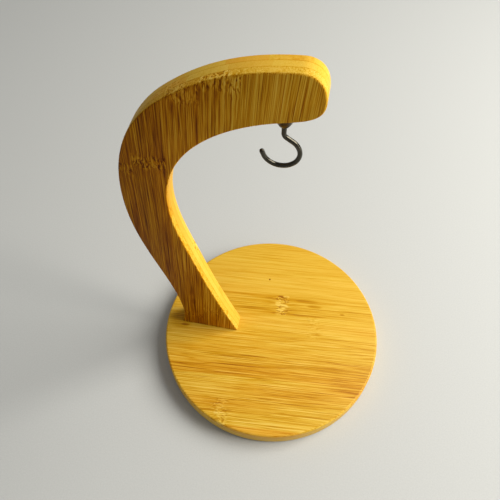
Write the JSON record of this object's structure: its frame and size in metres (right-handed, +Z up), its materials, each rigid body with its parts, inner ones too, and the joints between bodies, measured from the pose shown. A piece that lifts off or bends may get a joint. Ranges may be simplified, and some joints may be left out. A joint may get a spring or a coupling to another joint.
{
  "type": "banana hanger",
  "caption": "Tabletop hanger: round wooden base board, flat curved wooden arm, and a bent wire hook screwed into the arm's underside.",
  "frame": {"origin": "on the table, at the middle of the object's outline seen from above; the board's centre and the hook's axis are 3.55 mm to +X of it", "axes": "+Z up along the hook's shank; the arm stands in the XZ plane with its foot towards -X and its nose towards +X"},
  "size_m": [0.2072, 0.2, 0.3128],
  "materials": {
    "bamboo_base": "satin clear coat over honey bamboo, strips along X",
    "bamboo_arm": "satin clear coat over honey bamboo, grain along Z",
    "polished_nickel": "polished",
    "zinc_steel": "zinc plated",
    "pad_rubber": "matte"
  },
  "bodies": {
    "stand": {"base_disc": "bamboo_base", "curved_arm": "bamboo_arm", "arm_screw_outer": "zinc_steel", "arm_screw_inner": "zinc_steel", "foot_pad_1": "pad_rubber", "foot_pad_2": "pad_rubber", "foot_pad_3": "pad_rubber", "foot_pad_4": "pad_rubber"},
    "cup": {"hook_cup": "polished_nickel"},
    "hook": {"hook_wire": "polished_nickel"}
  },
  "joints": [
    {"name": "hook_feed", "type": "slide", "parent": "stand", "child": "cup", "axis": [0, 0, -1], "range_m": [0, 0.012]},
    {"name": "hook_turn", "type": "hinge", "parent": "cup", "child": "hook", "pos_m": [0.00355, 0, 0.28], "axis": [0, 0, -1], "range_deg": [0, 2880]}
  ],
  "couplings": [
    {"joint": "hook_feed", "follows": "hook_turn", "m_per_rad": 0.00023873}
  ]
}
